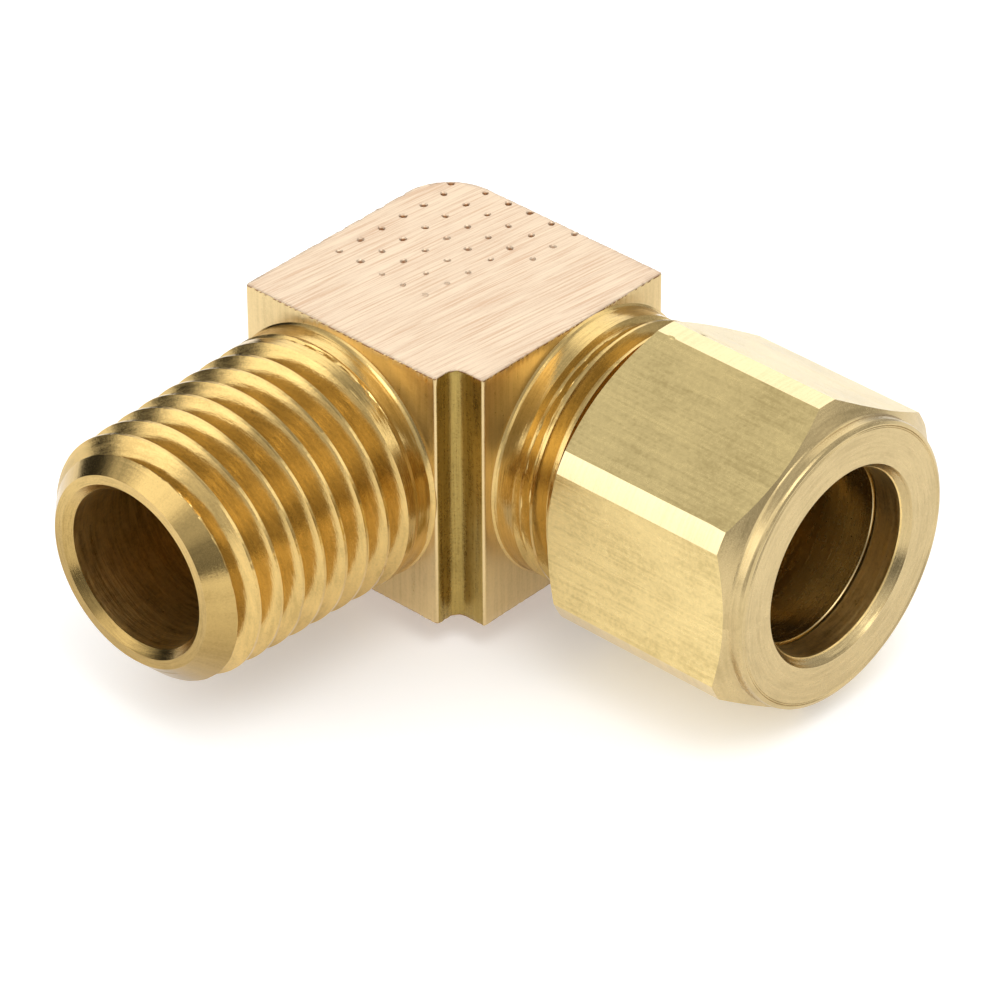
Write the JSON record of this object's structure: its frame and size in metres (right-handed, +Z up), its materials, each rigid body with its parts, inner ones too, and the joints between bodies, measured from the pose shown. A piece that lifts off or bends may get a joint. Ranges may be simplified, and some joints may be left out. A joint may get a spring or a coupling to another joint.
{
  "type": "compression elbow fitting",
  "caption": "Brass right-angle compression fitting: male taper pipe thread on one leg, hexagon nut and clamping sleeve for a tube on the other.",
  "frame": {"origin": "the point where the two leg axes cross, at the centre height of the block", "axes": "+X along the compression leg towards the nut, -Y along the pipe-thread leg towards its end, +Z up along the extruded bar"},
  "size_m": [0.0313, 0.0306, 0.017],
  "materials": {
    "body_brass": "machined, sawn ends",
    "nut_brass": "drawn hexagon bar, turned ends",
    "sleeve_brass": "turned"
  },
  "bodies": {
    "elbow": {"elbow_body": "body_brass"},
    "sleeve_carrier": {"sleeve": "sleeve_brass"},
    "nut": {"compression_nut": "nut_brass"}
  },
  "joints": [
    {"name": "sleeve_slide", "type": "slide", "parent": "elbow", "child": "sleeve_carrier", "axis": [1, 0, 0], "range_m": [-0.0006, 0.0039]},
    {"name": "nut_turn", "type": "hinge", "parent": "sleeve_carrier", "child": "nut", "pos_m": [0.018, 0, 0], "axis": [1, 0, 0], "range_deg": [-180, 1260]}
  ],
  "couplings": [
    {"joint": "sleeve_slide", "follows": "nut_turn", "m_per_rad": 0.00016844}
  ]
}
